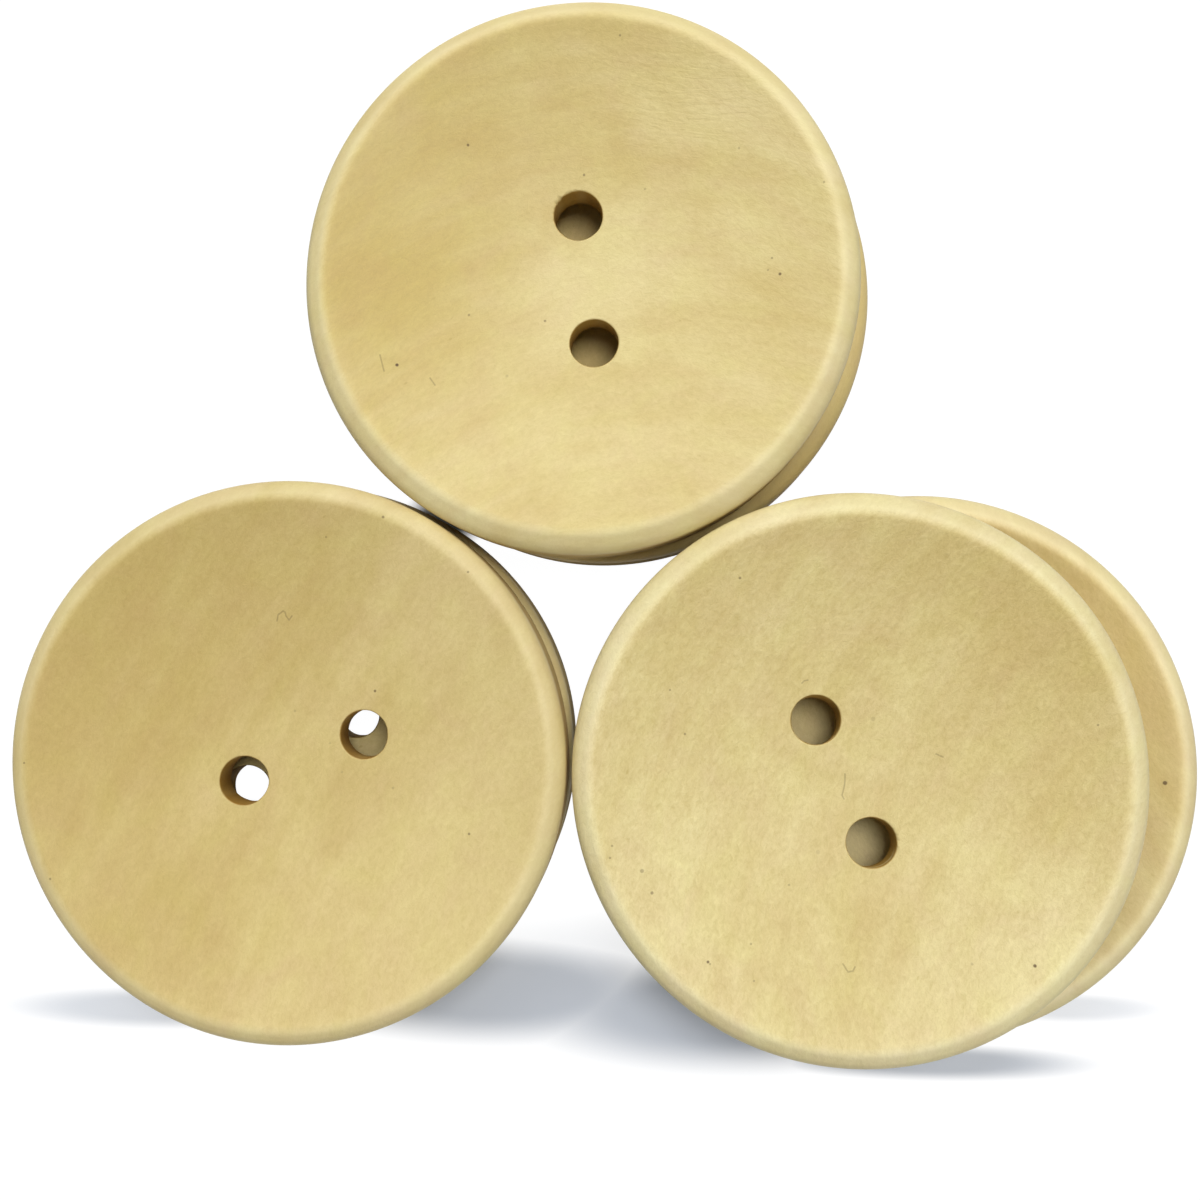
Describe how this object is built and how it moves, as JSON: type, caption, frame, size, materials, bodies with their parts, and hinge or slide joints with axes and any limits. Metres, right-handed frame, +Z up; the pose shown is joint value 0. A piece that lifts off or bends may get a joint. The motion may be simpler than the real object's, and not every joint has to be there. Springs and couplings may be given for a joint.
{
  "type": "wooden button set",
  "caption": "Dished round wooden buttons with a rounded rim and thread holes, lying flat in small stacks; sewn on to fasten coats, bags and knitwear.",
  "frame": {"origin": "middle of the layout's footprint, on the surface that the lower buttons lie on", "axes": "+X to the right and +Y away from the viewer along the surface, +Z up out of the dished faces"},
  "size_m": [0.1072, 0.0944, 0.012],
  "materials": {
    "honey_wood": "satin, smooth turned",
    "cream_wood": "satin, smooth turned",
    "straw_wood": "satin, smooth turned"
  },
  "bodies": {
    "root": {"left_upper_button": "honey_wood", "left_lower_button": "honey_wood", "right_upper_button": "cream_wood", "right_lower_button": "cream_wood", "back_upper_button": "straw_wood", "back_lower_button": "straw_wood"}
  },
  "joints": []
}
